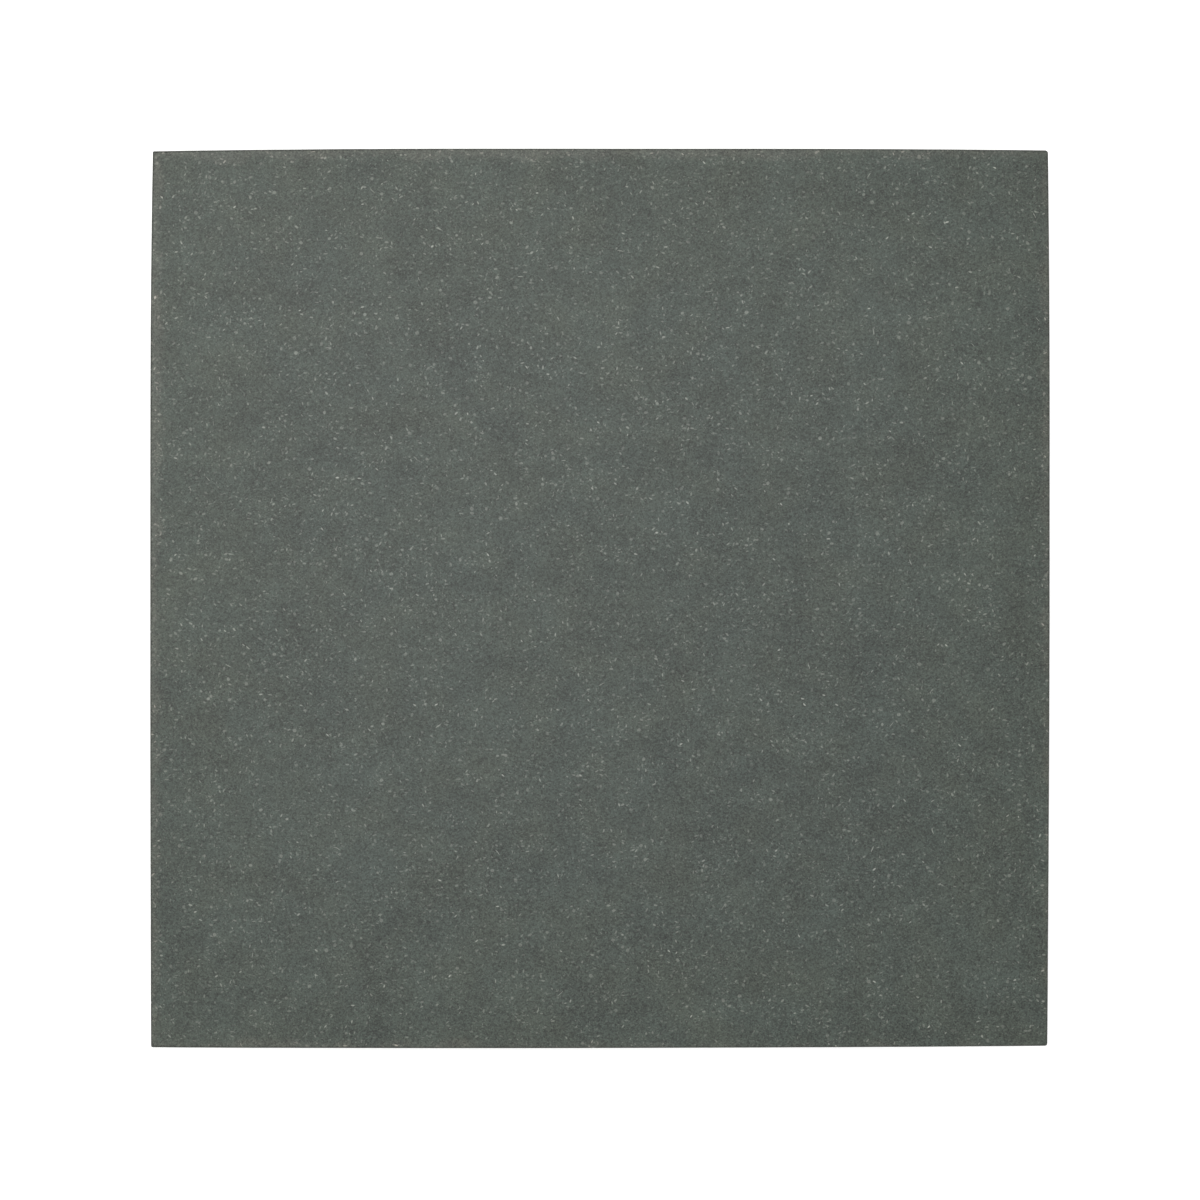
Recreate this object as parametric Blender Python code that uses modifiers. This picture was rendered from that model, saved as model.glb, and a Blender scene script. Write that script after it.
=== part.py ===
"""A granite slab for leather tooling, standing on four stick-on rubber feet.

Metres, +Z up. The origin is the centre of the footprint, on the bench that the feet stand on.
X runs along the slab's length, Y along its width, and -Y is the side nearest the worker.
"""

import math

import bmesh
import bpy

# The stone: a square sawn from 30 mm slab stock.
SLAB_LENGTH = 0.3048
SLAB_WIDTH = 0.3048
SLAB_THICKNESS = 0.030
CORNER_RADIUS = 0.0010  # of the four upright corners
CORNER_SEGMENTS = 4
TOP_ARRIS = 0.0007  # rounding rubbed along the edge of the honed work face
TOP_ARRIS_SEGMENTS = 3
BOTTOM_CHAMFER = 0.0008  # flat chamfer round the sawn underside, 45 degrees

# The feet: moulded rubber buttons, tapering towards the bench.
FOOT_DIAMETER = 0.019  # at the glued end
FOOT_HEIGHT = 0.0040
FOOT_LAND = 0.0009  # straight wall at the glued end, above the taper
FOOT_TAPER_DEGREES = 12.0
SOLE_FILLET = 0.0008
SOLE_FILLET_SEGMENTS = 4
FOOT_INSET = 0.0260  # from the stone's sides to the foot's axis
ROUND_STEPS = 48  # flats round a foot or a disc

# The adhesive: a disc of foam tape between each foot and the stone.
ADHESIVE_THICKNESS = 0.0008
ADHESIVE_MARGIN = 0.0008  # bare rim of the foot round the disc

CONTACT_GAP = 0.0003  # left between two faces that touch

MERGE_DISTANCE = 0.00001
SHARP_ANGLE = math.radians(35)  # a steeper edge than this is shaded sharp

# Worked out from the sizes above.
FOOT_RADIUS = FOOT_DIAMETER / 2
ADHESIVE_RADIUS = FOOT_RADIUS - ADHESIVE_MARGIN
ADHESIVE_BASE = FOOT_HEIGHT + CONTACT_GAP
SLAB_BASE = ADHESIVE_BASE + ADHESIVE_THICKNESS + CONTACT_GAP
FOOT_REACH_X = SLAB_LENGTH / 2 - FOOT_INSET
FOOT_REACH_Y = SLAB_WIDTH / 2 - FOOT_INSET

# Name ending and the side of the slab that each foot is on, along X and Y.
FOOT_STATIONS = (
    ("front_left", -1, -1),
    ("front_right", 1, -1),
    ("back_left", -1, 1),
    ("back_right", 1, 1),
)


def clear_scene():
    for obj in list(bpy.data.objects):
        bpy.data.objects.remove(obj, do_unlink=True)


def new_collection(name):
    collection = bpy.data.collections.new(name)
    bpy.context.scene.collection.children.link(collection)
    return collection


def principled(name, color, roughness, metallic=0.0):
    material = bpy.data.materials.new(name)
    material.use_nodes = True
    shader = material.node_tree.nodes["Principled BSDF"]
    shader.inputs["Base Color"].default_value = (*color, 1.0)
    shader.inputs["Roughness"].default_value = roughness
    shader.inputs["Metallic"].default_value = metallic
    material.diffuse_color = (*color, 1.0)
    return material


def shaded(mesh, material):
    mesh.materials.append(material)
    mesh.shade_smooth()
    mesh.set_sharp_from_angle(angle=SHARP_ANGLE)
    return mesh


def add_object(name, mesh, collection, location, parent=None):
    obj = bpy.data.objects.new(name, mesh)
    obj.location = location
    obj.parent = parent
    collection.objects.link(obj)
    return obj


def upright_edges(bm):
    return [e for e in bm.edges if abs(e.verts[0].co.z - e.verts[1].co.z) > SLAB_THICKNESS / 2]


def rim_edges(bm, height):
    """The edges that bound the flat face at this height."""
    return [e for e in bm.edges if all(abs(v.co.z - height) < MERGE_DISTANCE for v in e.verts)]


def ease(bm, edges, width, segments):
    bmesh.ops.bevel(
        bm,
        geom=edges,
        offset=width,
        offset_type="OFFSET",
        segments=segments,
        profile=0.5,
        affect="EDGES",
    )


def slab_mesh(material):
    """The stone, from its underside at z = 0 up, with its corners and arrises eased."""
    bm = bmesh.new()
    bmesh.ops.create_cube(bm, size=1.0)
    bmesh.ops.scale(bm, vec=(SLAB_LENGTH, SLAB_WIDTH, SLAB_THICKNESS), verts=bm.verts)
    bmesh.ops.translate(bm, vec=(0, 0, SLAB_THICKNESS / 2), verts=bm.verts)
    ease(bm, upright_edges(bm), CORNER_RADIUS, CORNER_SEGMENTS)
    ease(bm, rim_edges(bm, SLAB_THICKNESS), TOP_ARRIS, TOP_ARRIS_SEGMENTS)
    ease(bm, rim_edges(bm, 0.0), BOTTOM_CHAMFER, 1)
    mesh = bpy.data.meshes.new("granite_slab")
    bm.to_mesh(mesh)
    bm.free()
    return shaded(mesh, material)


def foot_profile():
    """(radius, height) points from the glued end's centre, down the outside, to the sole's centre."""
    taper = math.radians(FOOT_TAPER_DEGREES)
    wall_foot = FOOT_RADIUS - (FOOT_HEIGHT - FOOT_LAND) * math.tan(taper)
    turn = math.pi / 2 - taper  # what the fillet turns through, from the taper to the flat sole
    run_in = SOLE_FILLET * math.tan(turn / 2)  # from the sharp corner to where the fillet starts
    centre = (wall_foot - run_in, SOLE_FILLET)
    points = [(0.0, FOOT_HEIGHT), (FOOT_RADIUS, FOOT_HEIGHT), (FOOT_RADIUS, FOOT_HEIGHT - FOOT_LAND)]
    for step in range(SOLE_FILLET_SEGMENTS + 1):
        angle = -taper - turn * step / SOLE_FILLET_SEGMENTS
        radius = centre[0] + SOLE_FILLET * math.cos(angle)
        height = centre[1] + SOLE_FILLET * math.sin(angle)
        points.append((radius, height))
    points.append((0.0, 0.0))
    return points


def disc_profile():
    return [
        (0.0, ADHESIVE_THICKNESS),
        (ADHESIVE_RADIUS, ADHESIVE_THICKNESS),
        (ADHESIVE_RADIUS, 0.0),
        (0.0, 0.0),
    ]


def turned_mesh(name, profile, material):
    """The solid that a (radius, height) profile sweeps when it is turned round Z."""
    line = bpy.data.meshes.new(f"{name}_profile")
    edges = [(i, i + 1) for i in range(len(profile) - 1)]
    line.from_pydata([(radius, 0.0, height) for radius, height in profile], edges, [])
    blank = add_object(f"{name}_blank", line, bpy.context.scene.collection, (0, 0, 0))
    screw = blank.modifiers.new("turn", "SCREW")
    screw.axis = "Z"
    screw.angle = math.tau
    screw.steps = ROUND_STEPS
    screw.render_steps = ROUND_STEPS
    screw.use_merge_vertices = True
    screw.merge_threshold = MERGE_DISTANCE
    turned = blank.evaluated_get(bpy.context.evaluated_depsgraph_get())
    mesh = bpy.data.meshes.new_from_object(turned)
    mesh.name = name
    bpy.data.objects.remove(blank, do_unlink=True)
    bpy.data.meshes.remove(line)
    return shaded(mesh, material)


def build_slab(collection):
    granite = principled("honed_granite", (0.107, 0.122, 0.109), 0.48)
    add_object("granite_slab", slab_mesh(granite), collection, (0, 0, SLAB_BASE))


def build_feet(collection):
    rubber = principled("black_rubber", (0.018, 0.018, 0.019), 0.62)
    tape = principled("foam_tape", (0.62, 0.61, 0.57), 0.75)
    foot = turned_mesh("rubber_foot", foot_profile(), rubber)
    disc = turned_mesh("adhesive_disc", disc_profile(), tape)
    for place, side_x, side_y in FOOT_STATIONS:
        reach = (side_x * FOOT_REACH_X, side_y * FOOT_REACH_Y, 0)
        station = add_object(f"foot_station_{place}", None, collection, reach)
        add_object(f"rubber_foot_{place}", foot, collection, (0, 0, 0), station)
        add_object(f"adhesive_disc_{place}", disc, collection, (0, 0, ADHESIVE_BASE), station)


def main():
    clear_scene()
    collection = new_collection("granite_tooling_slab")
    build_slab(collection)
    build_feet(collection)


main()
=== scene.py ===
"""A granite tooling slab as it looks on the bench, built round its CAD frame.

The stone is one closed mesh, sawn square, with rubbed arrises and the small chips that a slab
picks up along them. Under it stand four moulded rubber feet, each held by a disc of foam tape.
Metres, +Z up, in the CAD model's own frame.
"""

import math
import random

import bmesh
import bpy
from mathutils import Matrix, Vector, noise


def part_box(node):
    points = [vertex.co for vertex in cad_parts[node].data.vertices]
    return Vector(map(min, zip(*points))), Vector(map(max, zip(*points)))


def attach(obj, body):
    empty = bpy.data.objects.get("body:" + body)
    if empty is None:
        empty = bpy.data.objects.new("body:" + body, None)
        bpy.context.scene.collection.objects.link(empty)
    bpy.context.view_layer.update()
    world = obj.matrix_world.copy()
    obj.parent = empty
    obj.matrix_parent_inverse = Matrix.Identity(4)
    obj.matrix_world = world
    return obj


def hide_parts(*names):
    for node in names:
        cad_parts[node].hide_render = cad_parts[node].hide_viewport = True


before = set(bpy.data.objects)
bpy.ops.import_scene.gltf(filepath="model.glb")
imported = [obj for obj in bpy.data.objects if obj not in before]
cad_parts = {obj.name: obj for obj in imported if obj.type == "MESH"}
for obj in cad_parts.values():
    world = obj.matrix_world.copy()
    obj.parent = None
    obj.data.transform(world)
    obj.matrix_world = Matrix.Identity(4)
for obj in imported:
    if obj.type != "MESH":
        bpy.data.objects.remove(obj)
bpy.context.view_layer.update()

MM = 0.001
STONE_LOW, STONE_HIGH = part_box("granite_slab")
PLACES = ("front_left", "front_right", "back_left", "back_right")

# The stone's edges.
CORNER_RADIUS = 1.0 * MM
CORNER_COLUMNS = 8
TOP_ARRIS = 0.70 * MM
TOP_ARRIS_SWING = 0.22  # share by which the rubbed radius wanders along an edge
TOP_ARRIS_ROWS = 6
BOTTOM_CHAMFER = 0.80 * MM
BOTTOM_CHAMFER_SWING = 0.30
CHAMFER_ROWS = ((0.0, 1.12), (0.08, 0.90), (0.49, 0.49), (0.90, 0.08), (1.12, 0.0))  # in chamfer widths
SAW_WANDER = 0.10 * MM  # how far a sawn side strays inwards from a true plane

# Each corner, by its sides along X and Y: how far the sides fall inwards at it, over what reach,
# and how round it is. 1 is a full quarter circle of CORNER_RADIUS, and less is sharper.
CORNERS = {
    (-1, 1): (0.85 * MM, 105 * MM, 0.40),
    (1, 1): (0.58 * MM, 100 * MM, 1.00),
    (1, -1): (0.80 * MM, 190 * MM, 0.90),
    (-1, -1): (0.26 * MM, 110 * MM, 0.60),
}

COLUMN_STEP = 3.0 * MM
LEAST_COLUMN_GAP = 0.07 * MM
SLIDE_REACH = 20 * MM  # stretch of a side over which its columns close up towards a corner
TOP_ROWS = tuple(MM * x for x in (0.2, 0.45, 0.8, 1.2, 1.8, 2.8, 4.5))
UPPER_SIDE_ROWS = tuple(MM * x for x in (0.2, 0.45, 0.75, 1.1, 1.6, 2.4, 3.6, 6.0, 9.5, 13.0))
LOWER_SIDE_ROWS = tuple(MM * x for x in (0.25, 0.5, 0.85, 1.3, 1.9, 2.7, 3.9, 6.0, 9.0))
UNDERSIDE_ROWS = tuple(MM * x for x in (0.25, 0.55, 0.95, 1.5, 2.2, 3.2, 4.8))

# Chips per side of the stone: how many, and their half-length's least and greatest.
TOP_CHIPS = (7, 0.30 * MM, 0.75 * MM)
BOTTOM_CHIPS = (10, 0.45 * MM, 2.2 * MM)
CHIP_COLUMNS = 5  # from a chip's middle to its tip, with one more beyond
CHIP_RAGGEDNESS = 0.22
BARE_BREAK = 0.10 * MM  # a chip this deep shows nothing but fresh stone

# How the stone's surface is laid out on its map: the work face and the four sides share one
# scale, and the underside takes the corner that is left.
MAP_MARGIN = 0.006
MAP_FACE = 0.780
MAP_GAP = 0.009

# The feet, from the glued end down to the sole, with its two grooves and the mark of its gate.
TURNED_STEPS = 72
GLUED_RIM = 0.25 * MM  # rounding of the glued end
FOOT_LAND = 0.80 * MM
MOULD_LINE = 0.07 * MM  # how proud the line is where the mould's halves met
MOULD_LINE_STEP = 0.06 * MM
UNDER_LINE = 0.03 * MM  # how far the taper starts inside the land
TAPER_RUN = 0.42 * MM
TAPER_DROP = 2.2 * MM
TAPER_BULGE = 0.16 * MM
TAPER_STEPS = 6
SOLE_INSET = 1.00 * MM
SOLE_FILLET = 0.80 * MM
GROOVES = (0.70, 0.44)  # where they run, in foot radii from the middle
GROOVE_WALL = ((0.42 * MM, 0.0), (0.34 * MM, 0.06 * MM), (0.22 * MM, 0.40 * MM))  # half-width, depth
# (radius, height) of the gate's mark, in millimetres, from its rim to its middle.
GATE_MARK = ((1.55, 0.0), (1.40, 0.10), (1.25, 0.55), (0.42, 0.60), (0.36, 0.42), (0.0, 0.38))

# The foam discs.
FOAM_SWELL = 0.17 * MM
FOAM_STEPS = 8
FOAM_NICK_SIZE = 1.3 * MM
FOAM_NICK = 0.010  # share by which the cut edge wanders
FOAM_OVERLAP = 0.01 * MM

SHARP_STONE = math.radians(42)  # a steeper edge than this is shaded sharp
SHARP_FOOT = math.radians(50)
SEED = 41

# The granite's colours.
COOL_GROUND = (0.0556, 0.0732, 0.0643)
WARM_GROUND = (0.0604, 0.0752, 0.0619)
DARK_GRAIN = (0.024, 0.030, 0.026)
PALE_GRAIN = (0.40, 0.42, 0.385)
WORN_AND_LIT_GAIN = (1.36, 1.20, 1.20)  # how much lighter and warmer the edge band is: wear from hands, and painted highlight
OILED_GAIN = (1.0, 1.0, 0.965)  # how hands have warmed the stone towards its edges
# The dark line painted as shade on the very edge, where the arris turns from the light.
EDGE_SHADE = (0.036, 0.037, 0.033)
SAWN_STONE = (0.165, 0.178, 0.160)  # the crushed skin that the saw leaves
BROKEN_STONE = (0.215, 0.222, 0.205)
GRAIN_TURNS = (9.0, 12.0, 15.0)  # the most that a crystal's draw turns it about X, Y and Z, in radians

# The pale sheet, the room and the lamp.
SHEET_RADIUS = 8.0
PAPER = (0.80, 0.80, 0.797)
TABLE_GLOW = 0.62
WALL_LIGHT = 0.98
CEILING_LIGHT = 0.58
LAMP_PLACE = (-0.21, 0.24, 1.28)
LAMP_SIZE = 0.9
LAMP_WATTS = 7.7
LAMP_COLOR = (1.0, 1.0, 0.95)

# The camera looks straight down: its lens and its film's width in millimetres, the share of the
# frame's width that the work face fills, and how far along Y it stands off the stone's centre.
LENS = 100
FILM_WIDTH = 36
FACE_SHARE = 0.7503
CAMERA_SHIFT = -0.53 * MM

# The saw that cut the sides: its blade's radius, and how far its axis ran below the stone.
SAW_RADIUS = 0.40
SAW_AXIS_DROP = 0.11


# ---------------------------------------------------------------- shader expressions


class Amount:
    """One output of a shader node. Arithmetic written on it adds Math nodes to its recipe."""

    def __init__(self, recipe, socket):
        self.recipe = recipe
        self.socket = socket

    def output(self, name):
        """Another output of the same node."""
        return Amount(self.recipe, self.socket.node.outputs[name])

    def math(self, operation, *terms):
        return self.recipe.node("Math", {"operation": operation}, dict(enumerate(terms)))

    def __add__(self, other):
        return self.math("ADD", self, other)

    def __sub__(self, other):
        return self.math("SUBTRACT", self, other)

    def __rsub__(self, other):
        return self.math("SUBTRACT", other, self)

    def __mul__(self, other):
        return self.math("MULTIPLY", self, other)

    def __truediv__(self, other):
        return self.math("DIVIDE", self, other)

    def __pow__(self, other):
        return self.math("POWER", self, other)

    def __abs__(self):
        return self.math("ABSOLUTE", self)

    __radd__ = __add__
    __rmul__ = __mul__


class Recipe:
    """One shader tree, and the ways of adding to it."""

    def __init__(self, tree):
        self.tree = tree

    def node(self, kind, settings, inputs, output=0):
        """Adds a node: its settings first, then what its sockets hold, by name or number."""
        made = self.tree.nodes.new(f"ShaderNode{kind}")
        for name, value in settings.items():
            setattr(made, name, value)
        for name, value in inputs.items():
            self.feed(made.inputs[name], value)
        return Amount(self, made.outputs[output])

    def feed(self, socket, value):
        if isinstance(value, Amount):
            self.tree.links.new(value.socket, socket)
        elif socket.type == "RGBA":
            socket.default_value = (*value, 1.0)
        else:
            socket.default_value = value

    def place(self):
        """Where on the piece, in metres."""
        return self.node("TexCoord", {}, {}, output="Object")

    def split(self, vector):
        parts = self.node("SeparateXYZ", {}, {0: vector})
        return parts, parts.output("Y"), parts.output("Z")

    def vector(self, operation, *terms, output=0):
        return self.node("VectorMath", {"operation": operation}, dict(enumerate(terms)), output)

    def stretched(self, vector, factors):
        return self.vector("MULTIPLY", vector, factors)

    def dimmed(self, color, share):
        return self.node("VectorMath", {"operation": "SCALE"}, {"Vector": color, "Scale": share})

    def blend(self, share, first, second):
        """A colour: first where share is 0, second where it is 1."""
        return self.node("Mix", {"data_type": "RGBA"}, {0: share, 6: first, 7: second}, output=2)

    def least(self, first, second):
        return first.math("MINIMUM", first, second)

    def most(self, first, second):
        return first.math("MAXIMUM", first, second)

    def rise(self, value, low, high):
        """0 up to low and 1 from high on, with a smooth rise between. Low may be the greater."""
        limits = {"Value": value, "From Min": low, "From Max": high}
        return self.node("MapRange", {"interpolation_type": "SMOOTHSTEP"}, limits)

    def cloud(self, place, size, detail=1.0, roughness=0.5):
        """Soft lumps about this many metres apart, from -1 to 1 round a mean of 0."""
        sockets = {"Vector": place, "Scale": 1 / size, "Detail": detail, "Roughness": roughness}
        return self.node("TexNoise", {}, sockets) * 2 - 1

    def ripple(self, distance, size):
        """Ridges about this many metres apart along a distance, from -1 to 1 round a mean of 0."""
        sockets = {"W": distance, "Scale": 1 / size, "Detail": 3.0, "Roughness": 0.6}
        return self.node("TexNoise", {"noise_dimensions": "1D"}, sockets) * 2 - 1

    def crystals(self, place, size):
        """Cells about this size: the distance from each one's heart, in cell sizes."""
        return self.node("TexVoronoi", {}, {"Vector": place, "Scale": 1 / size})

    def lot(self, crystals):
        """Three numbers from 0 to 1 that each crystal draws for itself."""
        drawn = self.node("SeparateColor", {}, {0: crystals.output("Color")})
        return drawn, drawn.output("Green"), drawn.output("Blue")

    def seldom(self, draw, typical):
        """From an even draw of 0 to 1, an amount that is mostly small and seldom great."""
        return -typical * self.node("Math", {"operation": "LOGARITHM"}, {0: 1.001 - draw, 1: math.e})

    def attribute(self, name):
        return self.node("Attribute", {"attribute_name": name}, {}, output="Fac")


def new_finish(name, roughness):
    material = bpy.data.materials.new(name)
    material.use_nodes = True
    shader = material.node_tree.nodes["Principled BSDF"]
    shader.inputs["Roughness"].default_value = roughness
    return material, Recipe(material.node_tree), shader


# ---------------------------------------------------------------- finishes


def grains(recipe, place, spacing, radius, share, slimness):
    """How far inside a grain each point is, from 0 to 1, and how bright that grain is.

    The grains are egg-shaped and lie every way, one to a cell, in this share of the cells.
    """
    cell = recipe.crystals(place, spacing)
    present, size, bright = recipe.lot(cell)
    arm = recipe.vector("SUBTRACT", place, cell.output("Position"))
    turn = recipe.stretched(cell.output("Color"), GRAIN_TURNS)
    lying = recipe.node("VectorRotate", {"rotation_type": "EULER_XYZ"}, {"Vector": arm, "Rotation": turn})
    slim = recipe.stretched(lying, (1 / radius, 1 / (radius * slimness), 1 / radius))
    reach = recipe.vector("LENGTH", slim, output="Value")
    inside = recipe.rise(reach / (0.5 + 0.5 * size), 1.0, 0.6)
    return inside * recipe.rise(present, share, share * 0.98), bright


def granite_body(granite, place):
    """The dense grey-green mass of small crystals with soft clouds through it, and its tooth."""
    broad = granite.cloud(place, 26 * MM, 2.0)
    middle = granite.cloud(place, 9 * MM, 2.0)
    small = granite.cloud(place, 2.0 * MM, 2.0, 0.6)
    fine = granite.cloud(place, 0.45 * MM, 1.0, 0.6)
    shade, hue, _ = granite.lot(granite.crystals(place, 0.48 * MM))
    tone = 0.82 + 0.22 * broad + 0.26 * middle + 0.06 * small + 0.62 * fine + 0.74 * (shade - 0.5)
    warmth = granite.rise(granite.cloud(place, 17 * MM, 1.0) + 0.5 * (hue - 0.5), -0.5, 0.7)
    color = granite.dimmed(granite.blend(warmth, COOL_GROUND, WARM_GROUND), tone)
    return color, middle, fine, 0.010 * fine + 0.012 * small + 0.010 * shade


def granite_grains(granite, place, color, middle):
    """Dark grains, then pale ones: many faint, fewer clear, and a few thin curved blades."""
    crowd = granite.rise(middle, -0.45, 0.45) * 0.9 + 0.35
    dark_inside, dark_depth = grains(granite, place, 1.2 * MM, 0.45 * MM, 0.45, 0.6)
    color = granite.blend(dark_inside * dark_depth * 0.60, color, DARK_GRAIN)
    faint_inside, faint_bright = grains(granite, place, 1.0 * MM, 0.54 * MM, 0.80, 0.38)
    color = granite.blend(faint_inside * crowd * (0.05 + 0.50 * faint_bright ** 2), color, PALE_GRAIN)
    clear_inside, clear_bright = grains(granite, place, 1.7 * MM, 0.90 * MM, 0.80, 0.36)
    glint = granite.seldom(clear_bright, 0.128)
    color = granite.blend(clear_inside * crowd * glint, color, PALE_GRAIN)
    swirl = granite.node("TexNoise", {}, {"Vector": place, "Scale": 1 / (2.4 * MM), "Detail": 0.0}, "Color")
    bent = granite.vector("ADD", place, granite.dimmed(swirl, 1.1 * MM))
    blade_inside, blade_bright = grains(granite, bent, 7.0 * MM, 1.45 * MM, 0.34, 0.10)
    color = granite.blend(blade_inside * (0.45 + 0.5 * blade_bright), color, PALE_GRAIN)
    return color, dark_inside, clear_inside


def saw_scores(granite, place, side, under):
    """The saw's curved scores on the sides and straighter ones underneath, round a mean of 0."""
    x, y, z = granite.split(place)
    facing_x, facing_y, _ = granite.split(granite.node("NewGeometry", {}, {}, "Normal"))
    along = x + (y - x) * granite.rise(abs(facing_x) - abs(facing_y), -0.1, 0.1)
    drop = z - STONE_LOW.z + SAW_AXIS_DROP
    sweep = (SAW_RADIUS ** 2 - drop * drop) ** 0.5
    drift = y + 6 * MM * granite.cloud(place, 120 * MM, 0.0)
    on_side = granite.ripple(along + sweep, 1.3 * MM) + granite.ripple(along + sweep, 7 * MM)
    on_underside = granite.ripple(drift, 1.8 * MM) + granite.ripple(drift, 11 * MM)
    return side * on_side + under * on_underside


def granite_finish():
    """Honed on the work face, sawn on the sides and underside, pale where it is broken."""
    material, granite, shader = new_finish("honed_granite", 0.5)
    place = granite.place()
    color, middle, fine, tooth = granite_body(granite, place)
    color, dark, clear = granite_grains(granite, place, color, middle)

    # Hands warm the stone towards its edges. Along the arrises a lighter, warmer band is painted,
    # partly wear from hands and partly painted highlight, reaching further towards the lamp at the
    # back left. On the very edge a dark line of painted shade is laid where the arris turns from the light.
    x, y, z = granite.split(place)
    half = (STONE_HIGH - STONE_LOW) / 2
    from_side = granite.least(half.x - abs(x), half.y - abs(y))
    from_face = granite.least(STONE_HIGH.z - z, z - STONE_LOW.z)
    oiled = granite.rise(from_side, 75 * MM, 5 * MM)
    color = granite.stretched(color, granite.blend(oiled, (1.0, 1.0, 1.0), OILED_GAIN))
    # Painted highlight: the band reaches further towards the lamp at the back left, with random wear along
    # it.
    lamp_and_wear_reach = (y - x) * (0.8 * MM / half.x) + 4.0 * MM * granite.cloud(place, 11 * MM, 2.0, 0.6)
    worn_and_lit = granite.rise(from_side + from_face - lamp_and_wear_reach, 4.0 * MM, 0.6 * MM)
    color = granite.stretched(color, granite.blend(worn_and_lit, (1.0, 1.0, 1.0), WORN_AND_LIT_GAIN))
    _, _, facing_up = granite.split(granite.node("NewGeometry", {}, {}, "Normal"))
    # Painted shade: darker where the surface rolls away from straight up, over the arris, the chamfer and
    # the sides next to each face.
    edge_shade = granite.rise(abs(facing_up), 0.965, 0.82) * granite.rise(from_face, 0.9 * MM, 0.3 * MM)
    color = granite.blend(edge_shade * 0.85, color, EDGE_SHADE)

    # Sawn faces are paler, and a fresh break is paler still, and rough.
    side = granite.rise(abs(facing_up), 0.75, 0.35)
    under = granite.rise(facing_up, -0.6, -0.95)
    sawn = granite.most(side, under)
    score = saw_scores(granite, place, side, under)
    crushed = sawn * (0.30 + 0.26 * score)
    color = granite.blend(granite.most(crushed, 0.0), color, SAWN_STONE)
    broken = granite.attribute("broken")
    sugar = granite.cloud(place, 0.35 * MM, 2.0, 0.7)
    color = granite.blend(broken * (0.62 + 0.3 * sugar), color, BROKEN_STONE)

    granite.feed(shader.inputs["Base Color"], color)
    rough = 0.50 + 0.07 * fine - 0.10 * clear + 0.16 * sawn + 0.25 * broken - 0.04 * worn_and_lit
    granite.feed(shader.inputs["Roughness"], rough)
    relief = tooth - 0.030 * dark + 0.05 * score + 0.05 * broken * sugar
    bump = granite.node("Bump", {}, {"Height": relief, "Distance": MM, "Strength": 1.0})
    granite.feed(shader.inputs["Normal"], bump)
    return material


def rubber_finish():
    """Moulded black rubber: a fine matt skin, grey with bench dust where hands touch it."""
    material, rubber, shader = new_finish("black_rubber", 0.6)
    place = rubber.place()
    _, _, z = rubber.split(place)
    skin = rubber.cloud(place, 0.35 * MM, 3.0, 0.6)
    bloom = rubber.cloud(place, 4.0 * MM, 3.0, 0.6)
    dust = rubber.rise(bloom + 0.6 * skin, -0.1, 0.9) * rubber.rise(z, 0.2 * MM, 2.2 * MM)
    scuff = rubber.rise(z, 0.5 * MM, 0.1 * MM) * rubber.rise(skin + bloom, -0.4, 0.5)
    color = rubber.dimmed((0.0175, 0.0175, 0.0185), 1 + 0.25 * bloom)
    color = rubber.blend(dust * 0.30, color, (0.110, 0.107, 0.098))
    color = rubber.blend(scuff * 0.45, color, (0.085, 0.082, 0.075))
    rubber.feed(shader.inputs["Base Color"], color)
    rubber.feed(shader.inputs["Roughness"], 0.56 + 0.18 * dust + 0.14 * scuff + 0.05 * skin)
    bump = rubber.node("Bump", {}, {"Height": 0.012 * skin + 0.01 * bloom, "Distance": MM})
    rubber.feed(shader.inputs["Normal"], bump)
    return material


def foam_finish():
    """Closed-cell foam tape, with cut cells on its edge and a yellowed skin of adhesive."""
    material, foam, shader = new_finish("foam_tape", 0.8)
    place = foam.place()
    _, _, z = foam.split(place)
    cell = foam.crystals(place, 0.22 * MM)
    wall = foam.rise(cell, 0.15, 0.75)
    patch = foam.cloud(place, 3.0 * MM, 3.0, 0.6)
    tape_low, tape_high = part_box("adhesive_disc_front_left")
    to_skin = foam.least(tape_high.z + 0.3 * MM - z, z - tape_low.z + 0.3 * MM)
    glue = foam.rise(to_skin, 0.28 * MM, 0.12 * MM)
    color = foam.blend(wall, (0.33, 0.325, 0.30), (0.62, 0.61, 0.575))
    color = foam.dimmed(color, 1 + 0.14 * patch)
    color = foam.blend(glue * 0.7, color, (0.42, 0.36, 0.25))
    foam.feed(shader.inputs["Base Color"], color)
    foam.feed(shader.inputs["Roughness"], 0.85 - 0.45 * glue)
    bump = foam.node("Bump", {}, {"Height": 0.05 * wall + 0.02 * patch, "Distance": MM})
    foam.feed(shader.inputs["Normal"], bump)
    return material


def paper_finish():
    """The pale sheet that the slab stands on, lit a little from below as on a light table."""
    material, paper, shader = new_finish("pale_paper", 0.9)
    mottle = paper.cloud(paper.place(), 60 * MM, 3.0)
    paper.feed(shader.inputs["Base Color"], paper.dimmed(PAPER, 1 + 0.006 * mottle))
    shader.inputs["Specular IOR Level"].default_value = 0.0
    shader.inputs["Emission Color"].default_value = (1.0, 1.0, 1.0, 1.0)
    shader.inputs["Emission Strength"].default_value = TABLE_GLOW
    return material


# ---------------------------------------------------------------- the stone's shape


class Side:
    """One upright side of the stone, with its outward normal and the way its columns run."""

    def __init__(self, index):
        angle = index * math.pi / 2
        self.index = index
        self.normal = Vector((round(math.cos(angle)), round(math.sin(angle))))
        self.run = Vector((-self.normal.y, self.normal.x))
        half = (STONE_HIGH - STONE_LOW) / 2
        self.reach = abs(self.normal.x) * half.x + abs(self.normal.y) * half.y
        self.half_length = abs(self.run.x) * half.x + abs(self.run.y) * half.y - CORNER_RADIUS
        self.end_corner = tuple(self.normal + self.run)


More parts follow.
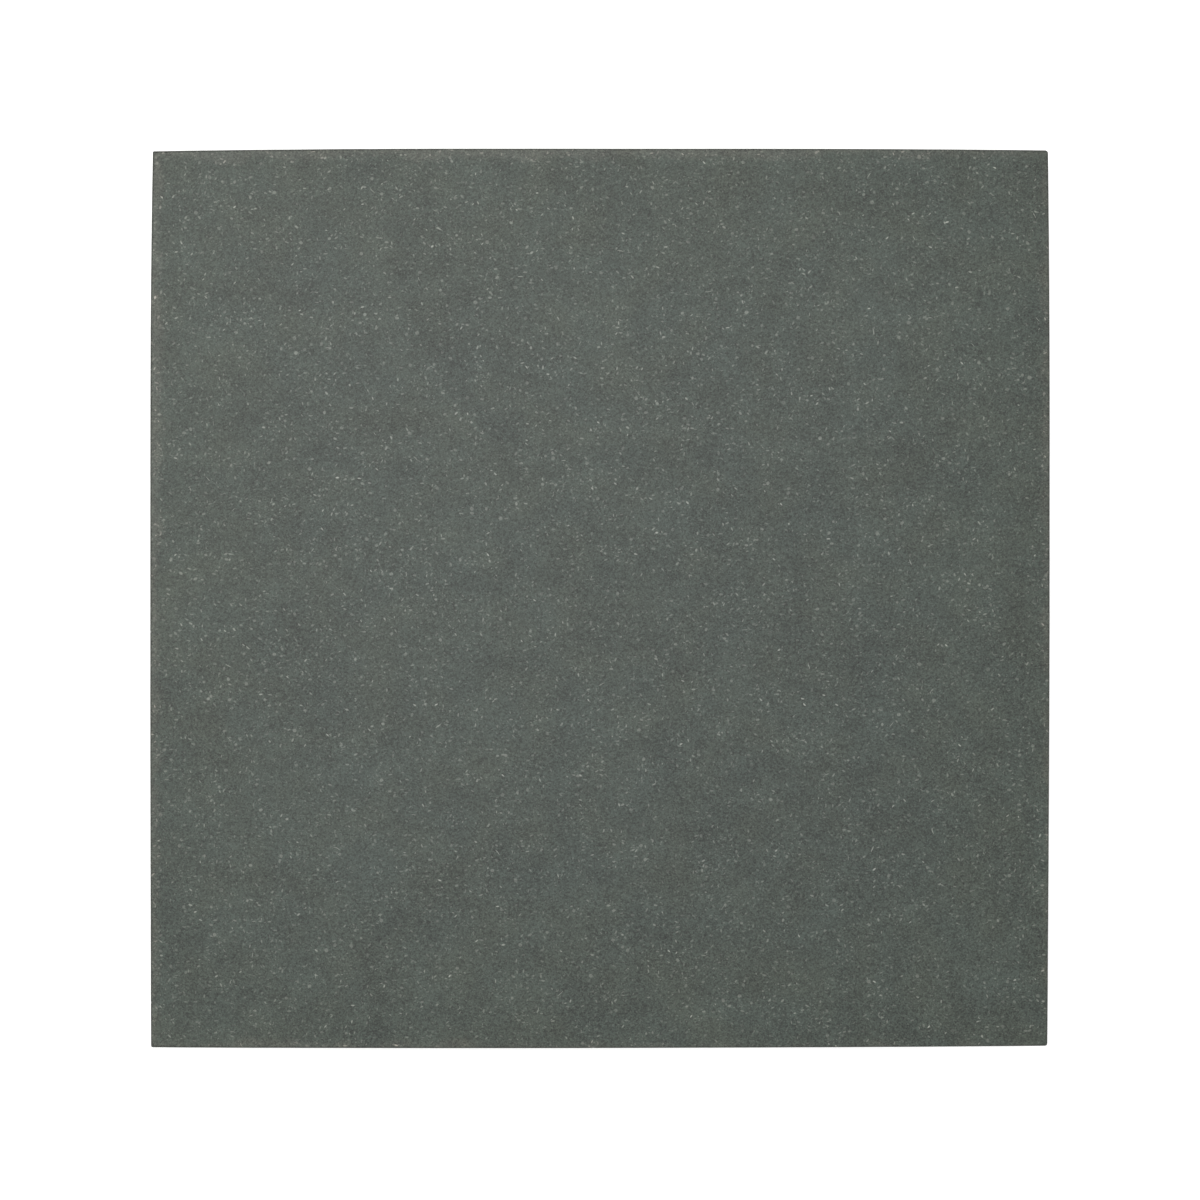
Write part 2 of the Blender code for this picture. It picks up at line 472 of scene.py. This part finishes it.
class Chip:
    """A bite out of an arris, shaped like part of an egg whose heart is just off the edge."""

    def __init__(self, side, at_top, least, greatest, draw):
        self.side = side
        self.at_top = at_top
        self.half_length = least * (greatest / least) ** (draw.random() ** 1.7)
        margin = CORNER_RADIUS + 2 * self.half_length
        self.along = draw.uniform(margin - side.half_length, side.half_length - margin)
        self.across = self.half_length * draw.uniform(0.45, 0.75) + 0.28 * MM
        self.down = self.half_length * draw.uniform(0.55, 1.05) + 0.30 * MM
        self.lean = draw.uniform(-0.35, 0.35)
        self.grit = Vector((draw.random(), draw.random(), draw.random())) * 50


class Column:
    """A line of points down the stone's outline, on a side or on the corner that ends it."""

    def __init__(self, side, along, turn=0.0):
        self.side = side
        self.along = along
        self.turn = turn  # how far round the corner after this side, in radians

    def point(self, inset):
        """The place on the outline, this far in from the sides, which keeps its corner radius."""
        side = self.side
        if self.turn:
            _, _, roundness = CORNERS[side.end_corner]
            arm = side.normal * math.cos(self.turn) ** roundness
            arm += side.run * math.sin(self.turn) ** roundness
            across = side.reach - CORNER_RADIUS - inset
            return side.normal * across + side.run * (side.half_length - inset) + arm * CORNER_RADIUS
        close = (abs(self.along) - side.half_length + SLIDE_REACH) / SLIDE_REACH
        close = max(0.0, close)
        slid = self.along - math.copysign(inset * close * close * (3 - 2 * close), self.along)
        return side.normal * (side.reach - inset) + side.run * slid

    def unrolled(self, side):
        """How far along a side's strip of the map this column is, from the side's middle."""
        if not self.turn:
            return self.along if side is self.side else -side.half_length - CORNER_RADIUS * math.pi / 2
        if side is self.side:
            return side.half_length + CORNER_RADIUS * self.turn
        return -side.half_length - CORNER_RADIUS * (math.pi / 2 - self.turn)


def draw_chips(sides):
    draw = random.Random(SEED)
    chips = []
    for side in sides:
        for at_top, (count, least, greatest) in ((True, TOP_CHIPS), (False, BOTTOM_CHIPS)):
            chips += [Chip(side, at_top, least, greatest, draw) for _ in range(count)]
    return chips


def columns_of(side, chips):
    """Columns along a side, close together where a chip needs them, and round its corner."""
    steps = round(2 * side.half_length / COLUMN_STEP)
    fixed = [side.half_length * (2 * i / steps - 1) for i in range(steps + 1)]
    close = []
    for chip in chips:
        if chip.side is side:
            for i in range(-CHIP_COLUMNS - 1, CHIP_COLUMNS + 2):
                close.append(chip.along + chip.half_length * i / CHIP_COLUMNS)
    kept = []
    for along in sorted(fixed + close):
        if kept and along - kept[-1] < LEAST_COLUMN_GAP:
            continue
        kept.append(along)
    last = side.half_length - LEAST_COLUMN_GAP
    inner = [along for along in kept if -last < along < last]
    columns = [Column(side, along) for along in (-side.half_length, *inner, side.half_length)]
    for i in range(1, CORNER_COLUMNS):
        columns.append(Column(side, side.half_length, i * math.pi / 2 / CORNER_COLUMNS))
    return columns


def wander(point, size, seed):
    """Smooth noise round the outline, from -1 to 1, with lumps of this size."""
    return noise.noise(Vector((point.x / size, point.y / size, seed)))


def corner_fall(point):
    """How far the outline falls inwards here, towards the stone's corners."""
    fall = 0.0
    for (side_x, side_y), (depth, reach, _) in CORNERS.items():
        corner = Vector((side_x * STONE_HIGH.x, side_y * STONE_HIGH.y))
        near = max(0.0, 1 - (point - corner).length / reach)
        fall += depth * near * near
    return fall


def rows_of(column):
    """(inset, height) down a column: in over the work face, the arris, the side, the underside."""
    at = column.point(0.0)
    arris = TOP_ARRIS * (1 + TOP_ARRIS_SWING * (wander(at, 14 * MM, 3.1) + 0.5 * wander(at, 4 * MM, 8.7)))
    chamfer = BOTTOM_CHAMFER * (1 + BOTTOM_CHAMFER_SWING * wander(at, 11 * MM, 5.3))
    stray = SAW_WANDER * (0.5 + 0.5 * wander(at, 70 * MM, 1.9)) + corner_fall(at)
    top, bottom = STONE_HIGH.z, STONE_LOW.z
    rows = [(arris + extra, top) for extra in reversed(TOP_ROWS)]
    for i in range(TOP_ARRIS_ROWS + 1):
        angle = i * math.pi / 2 / TOP_ARRIS_ROWS
        rows.append((arris * (1 - math.sin(angle)), top - arris * (1 - math.cos(angle))))
    rows += [(0.0, top - TOP_ARRIS - extra) for extra in UPPER_SIDE_ROWS]
    rows += [(0.0, bottom + BOTTOM_CHAMFER + extra) for extra in reversed(LOWER_SIDE_ROWS)]
    rows += [(inset * chamfer, bottom + height * chamfer) for inset, height in CHAMFER_ROWS]
    under_edge, _ = rows[-1]
    rows += [(under_edge + extra, bottom) for extra in UNDERSIDE_ROWS]
    return [(inset + stray, height) for inset, height in rows]


def chipped(chips, side, along, inset, height):
    """The point, moved in to a chip's hollow where one has bitten it, and about how far it moved."""
    moved = 0.0
    for chip in chips:
        if chip.side is not side:
            continue
        deep = STONE_HIGH.z - height if chip.at_top else height - STONE_LOW.z
        u = (along - chip.along) / chip.half_length + chip.lean * deep / chip.down
        if abs(u) > 1.2 or inset > 2 * chip.across or deep > 2 * chip.down:
            continue
        ragged = noise.noise(Vector((along, inset, deep)) / (chip.half_length * 0.6) + chip.grit)
        size = 1 + CHIP_RAGGEDNESS * ragged
        a, b = inset / chip.across / size, deep / chip.down / size
        spare = (a + b) ** 2 - 2 * (a * a + b * b + (u / size) ** 2 - 1)
        if spare <= 0 or a * a + b * b + (u / size) ** 2 >= 1:
            continue
        bite = (math.sqrt(spare) - a - b) / 2
        inset += bite * chip.across * size
        deep += bite * chip.down * size
        height = STONE_HIGH.z - deep if chip.at_top else STONE_LOW.z + deep
        moved = max(moved, bite * chip.half_length)
    return inset, height, moved


class StoneMap:
    """Where the stone's surface lies on its map, which runs from 0 to 1 both ways."""

    def __init__(self):
        face_size = 2 * STONE_HIGH.x
        self.scale = MAP_FACE / face_size
        self.corner = MAP_MARGIN + MAP_FACE + MAP_GAP
        self.under_scale = (1 - MAP_MARGIN - self.corner) / face_size

    def work_face(self, place):
        across = MAP_MARGIN + (place.x - STONE_LOW.x) * self.scale
        return across, MAP_MARGIN + (place.y - STONE_LOW.y) * self.scale

    def underside(self, place):
        across = self.corner + (STONE_HIGH.x - place.x) * self.under_scale
        return across, self.corner + (place.y - STONE_LOW.y) * self.under_scale

    def side(self, side, column, depth):
        """A point on a side's strip, this far down its column from the work face."""
        thick = (STONE_HIGH.z - STONE_LOW.z) * MAP_FACE / (2 * side.half_length)
        down = self.corner + (side.index % 2) * (thick + MAP_GAP) + depth * self.scale
        along = MAP_MARGIN + MAP_FACE / 2 + column.unrolled(side) * self.scale
        return (down, along) if side.index < 2 else (along, down)


def stand_columns(bm, broken, columns, chips):
    """The stone's points, column by column, and how far down its column each of them lies."""
    grid, depths = [], []
    for column in columns:
        line, depth = [], []
        for inset, height in rows_of(column):
            moved = 0.0
            if not column.turn:
                inset, height, moved = chipped(chips, column.side, column.along, inset, height)
            flat = column.point(inset)
            vert = bm.verts.new((flat.x, flat.y, height))
            vert[broken] = min(1.0, moved / BARE_BREAK)
            depth.append(depth[-1] + (vert.co - line[-1].co).length if line else 0.0)
            line.append(vert)
        grid.append(line)
        depths.append(depth)
    return grid, depths


def wrap_stone(bm, uv, sides, columns, grid, depths):
    """Faces between each column and the next, laid out on the stone's map."""
    stone_map = StoneMap()
    top_end = len(TOP_ROWS) + TOP_ARRIS_ROWS // 2
    side_end = len(grid[0]) - 1 - len(UNDERSIDE_ROWS)
    for j, column in enumerate(columns):
        k = (j + 1) % len(columns)
        side = column.side
        if column.turn >= math.pi / 4:
            side = sides[(side.index + 1) % 4]
        for i in range(len(grid[0]) - 1):
            corners = ((j, i), (j, i + 1), (k, i + 1), (k, i))
            face = bm.faces.new([grid[c][r] for c, r in corners])
            face.smooth = True
            for loop, (c, r) in zip(face.loops, corners):
                if i < top_end:
                    loop[uv].uv = stone_map.work_face(loop.vert.co)
                elif i >= side_end:
                    loop[uv].uv = stone_map.underside(loop.vert.co)
                else:
                    depth = depths[c][r] - depths[c][top_end]
                    loop[uv].uv = stone_map.side(side, columns[c], depth)
    cap_stone(bm, uv, [line[0] for line in grid], stone_map.work_face)
    cap_stone(bm, uv, [line[-1] for line in reversed(grid)], stone_map.underside)


def cap_stone(bm, uv, ring, layout):
    cap = bm.faces.new(ring)
    cap.smooth = True
    for loop in cap.loops:
        loop[uv].uv = layout(loop.vert.co)
    bmesh.ops.triangulate(bm, faces=[cap])


def build_stone(finish):
    sides = [Side(i) for i in range(4)]
    chips = draw_chips(sides)
    columns = [column for side in sides for column in columns_of(side, chips)]
    bm = bmesh.new()
    broken = bm.verts.layers.float.new("broken")
    uv = bm.loops.layers.uv.new("OFBake")
    grid, depths = stand_columns(bm, broken, columns, chips)
    wrap_stone(bm, uv, sides, columns, grid, depths)
    mesh = bpy.data.meshes.new("stone")
    bm.to_mesh(mesh)
    bm.free()
    mesh.set_sharp_from_angle(angle=SHARP_STONE)
    mesh.materials.append(finish)
    return add_piece("stone", mesh, "granite_slab")


# ---------------------------------------------------------------- the feet


def turned(name, profile, finish):
    """A closed mesh from a (radius, height) profile that starts and ends on the axis, top first."""
    bm = bmesh.new()
    rings = []
    for radius, height in profile:
        if radius == 0:
            rings.append([bm.verts.new((0, 0, height))])
            continue
        turn = [i * math.tau / TURNED_STEPS for i in range(TURNED_STEPS)]
        rings.append([bm.verts.new((radius * math.cos(t), radius * math.sin(t), height)) for t in turn])
    for upper, lower in zip(rings, rings[1:]):
        for i in range(TURNED_STEPS):
            n = (i + 1) % TURNED_STEPS
            if len(upper) == 1:
                corners = (upper[0], lower[i], lower[n])
            elif len(lower) == 1:
                corners = (upper[n], upper[i], lower[0])
            else:
                corners = (upper[n], upper[i], lower[i], lower[n])
            bm.faces.new(corners).smooth = True
    mesh = bpy.data.meshes.new(name)
    bm.to_mesh(mesh)
    bm.free()
    mesh.set_sharp_from_angle(angle=SHARP_FOOT)
    mesh.materials.append(finish)
    return mesh


def arc(centre, radius, start, end, steps):
    """Points on an arc, from one angle to another, in degrees."""
    angles = [math.radians(start + (end - start) * i / steps) for i in range(steps + 1)]
    return [(centre[0] + radius * math.cos(a), centre[1] + radius * math.sin(a)) for a in angles]


def foot_profile(radius, height):
    """A rubber button: glued end, straight land, mould line, pressed-out taper, grooved sole."""
    outline = [(0.0, height), (radius / 2, height)]
    outline += arc((radius - GLUED_RIM, height - GLUED_RIM), GLUED_RIM, 90, 0, 4)
    level = height - FOOT_LAND
    for proud in (0.0, MOULD_LINE, MOULD_LINE, -UNDER_LINE):
        outline.append((radius + proud, level))
        level -= MOULD_LINE_STEP
    level += MOULD_LINE_STEP
    for i in range(1, TAPER_STEPS):
        share = i / TAPER_STEPS
        bulge = TAPER_BULGE * math.sin(math.pi * share)
        outline.append((radius - UNDER_LINE - TAPER_RUN * share + bulge, level - TAPER_DROP * share))
    outline += arc((radius - SOLE_INSET, SOLE_FILLET), SOLE_FILLET, -8, -90, 6)
    for groove in GROOVES:
        outline += [(groove * radius + half, depth) for half, depth in GROOVE_WALL]
        outline += [(groove * radius - half, depth) for half, depth in reversed(GROOVE_WALL)]
    return outline + [(out * MM, up * MM) for out, up in GATE_MARK]


def foam_profile(radius, low, high):
    """A disc of foam, squeezed so that its edge swells between its two skins."""
    outline = [(0.0, high), (radius * 0.6, high)]
    for i in range(FOAM_STEPS + 1):
        share = i / FOAM_STEPS
        swell = FOAM_SWELL * math.sin(math.pi * share) ** 0.8
        outline.append((radius + swell, high - (high - low) * share))
    return outline + [(radius * 0.6, low), (0.0, low)]


def add_piece(name, mesh, node):
    piece = bpy.data.objects.new(name, mesh)
    bpy.context.scene.collection.objects.link(piece)
    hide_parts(node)
    return piece


def build_foot(place, rubber, foam, draw):
    foot_low, foot_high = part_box(f"rubber_foot_{place}")
    disc_low, disc_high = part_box(f"adhesive_disc_{place}")
    centre = (foot_low + foot_high) / 2
    shape = foot_profile((foot_high.x - foot_low.x) / 2, foot_high.z - foot_low.z)
    mesh = turned(f"moulded_foot_{place}", shape, rubber)
    foot = add_piece(f"moulded_foot_{place}", mesh, f"rubber_foot_{place}")
    low, high = foot_high.z - FOAM_OVERLAP, STONE_LOW.z + FOAM_OVERLAP
    shape = foam_profile((disc_high.x - disc_low.x) / 2, low, high)
    mesh = turned(f"foam_disc_{place}", shape, foam)
    for vert in mesh.vertices:
        vert.co.xy *= 1 + FOAM_NICK * noise.noise(vert.co / FOAM_NICK_SIZE)
    disc = add_piece(f"foam_disc_{place}", mesh, f"adhesive_disc_{place}")
    for piece in (foot, disc):
        spin = draw.uniform(0, math.tau)
        piece.data.transform(Matrix.Rotation(spin, 4, "Z"))
        piece.data.transform(Matrix.Translation((centre.x, centre.y, 0)))
        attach(piece, "root")


# ---------------------------------------------------------------- stage, light and camera


def build_stage():
    mesh = bpy.data.meshes.new("paper_sheet")
    bm = bmesh.new()
    bmesh.ops.create_circle(bm, cap_ends=True, radius=SHEET_RADIUS, segments=96)
    bm.to_mesh(mesh)
    bm.free()
    mesh.materials.append(paper_finish())
    sheet = bpy.data.objects.new("paper_sheet", mesh)
    bpy.context.scene.collection.objects.link(sheet)


def light_room():
    """White walls low down, a dimmer ceiling, and one wide lamp high at the back left."""
    world = bpy.data.worlds.new("white_room")
    bpy.context.scene.world = world
    world.use_nodes = True
    room = Recipe(world.node_tree)
    _, _, up = room.split(room.node("TexCoord", {}, {}, output="Generated"))
    color = room.blend(room.rise(up, 0.14, 0.50), (WALL_LIGHT,) * 3, (CEILING_LIGHT,) * 3)
    room.feed(world.node_tree.nodes["Background"].inputs["Color"], color)

    lamp = bpy.data.lights.new("wide_lamp", "AREA")
    lamp.shape = "DISK"
    lamp.size = LAMP_SIZE
    lamp.energy = LAMP_WATTS
    lamp.color = LAMP_COLOR
    lamp_object = bpy.data.objects.new("wide_lamp", lamp)
    bpy.context.scene.collection.objects.link(lamp_object)
    lamp_object.location = LAMP_PLACE
    aim = Vector((0, 0, STONE_HIGH.z)) - lamp_object.location
    lamp_object.rotation_euler = aim.to_track_quat("-Z", "Y").to_euler()
    bpy.context.scene.view_settings.view_transform = "Standard"


def place_camera():
    """Straight down on the work face."""
    data = bpy.data.cameras.new("overhead")
    data.lens = LENS
    data.sensor_width = FILM_WIDTH
    camera = bpy.data.objects.new("overhead", data)
    bpy.context.scene.collection.objects.link(camera)
    away = 2 * STONE_HIGH.x / FACE_SHARE * LENS / FILM_WIDTH
    camera.location = (0, CAMERA_SHIFT, STONE_HIGH.z + away)
    bpy.context.scene.camera = camera


def main():
    stone = build_stone(granite_finish())
    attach(stone, "root")
    rubber, foam = rubber_finish(), foam_finish()
    draw = random.Random(SEED + 1)
    for place in PLACES:
        build_foot(place, rubber, foam, draw)
    build_stage()
    light_room()
    place_camera()


main()
